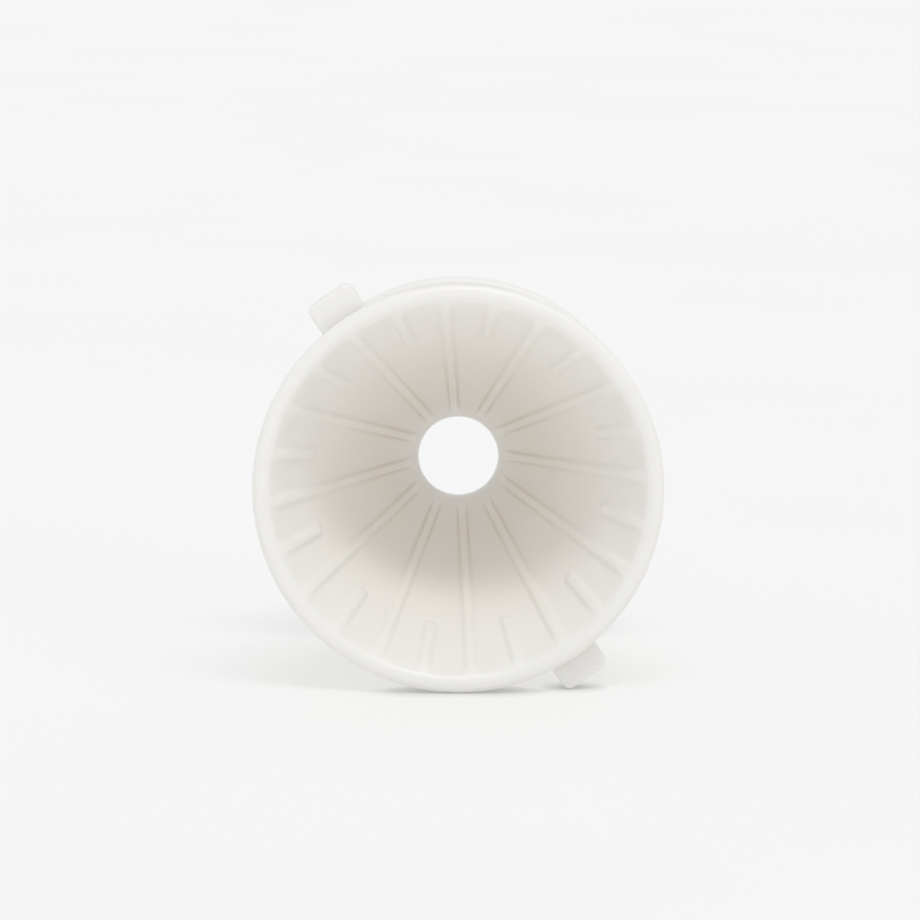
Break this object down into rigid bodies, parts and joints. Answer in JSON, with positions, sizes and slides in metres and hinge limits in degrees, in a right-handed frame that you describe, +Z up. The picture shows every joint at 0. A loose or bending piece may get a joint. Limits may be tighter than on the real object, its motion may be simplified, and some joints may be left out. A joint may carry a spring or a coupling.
{
  "type": "pour over dripper",
  "caption": "Porcelain pour over coffee dripper: ribbed cone with a rolled lip, lifting ears and a saucer base that rests on a mug and centres in its mouth.",
  "frame": {"origin": "centre of the foot ring's underside, on the cone's axis", "axes": "+Z up along the cone's axis and out of its mouth, X through the two ears, Y across them"},
  "size_m": [0.1136, 0.1, 0.072],
  "materials": {
    "porcelain": "gloss white glaze, unglazed on the foot"
  },
  "bodies": {
    "root": {"cone_body": "porcelain", "ear_left": "porcelain", "ear_right": "porcelain", "base_saucer": "porcelain"}
  },
  "joints": []
}
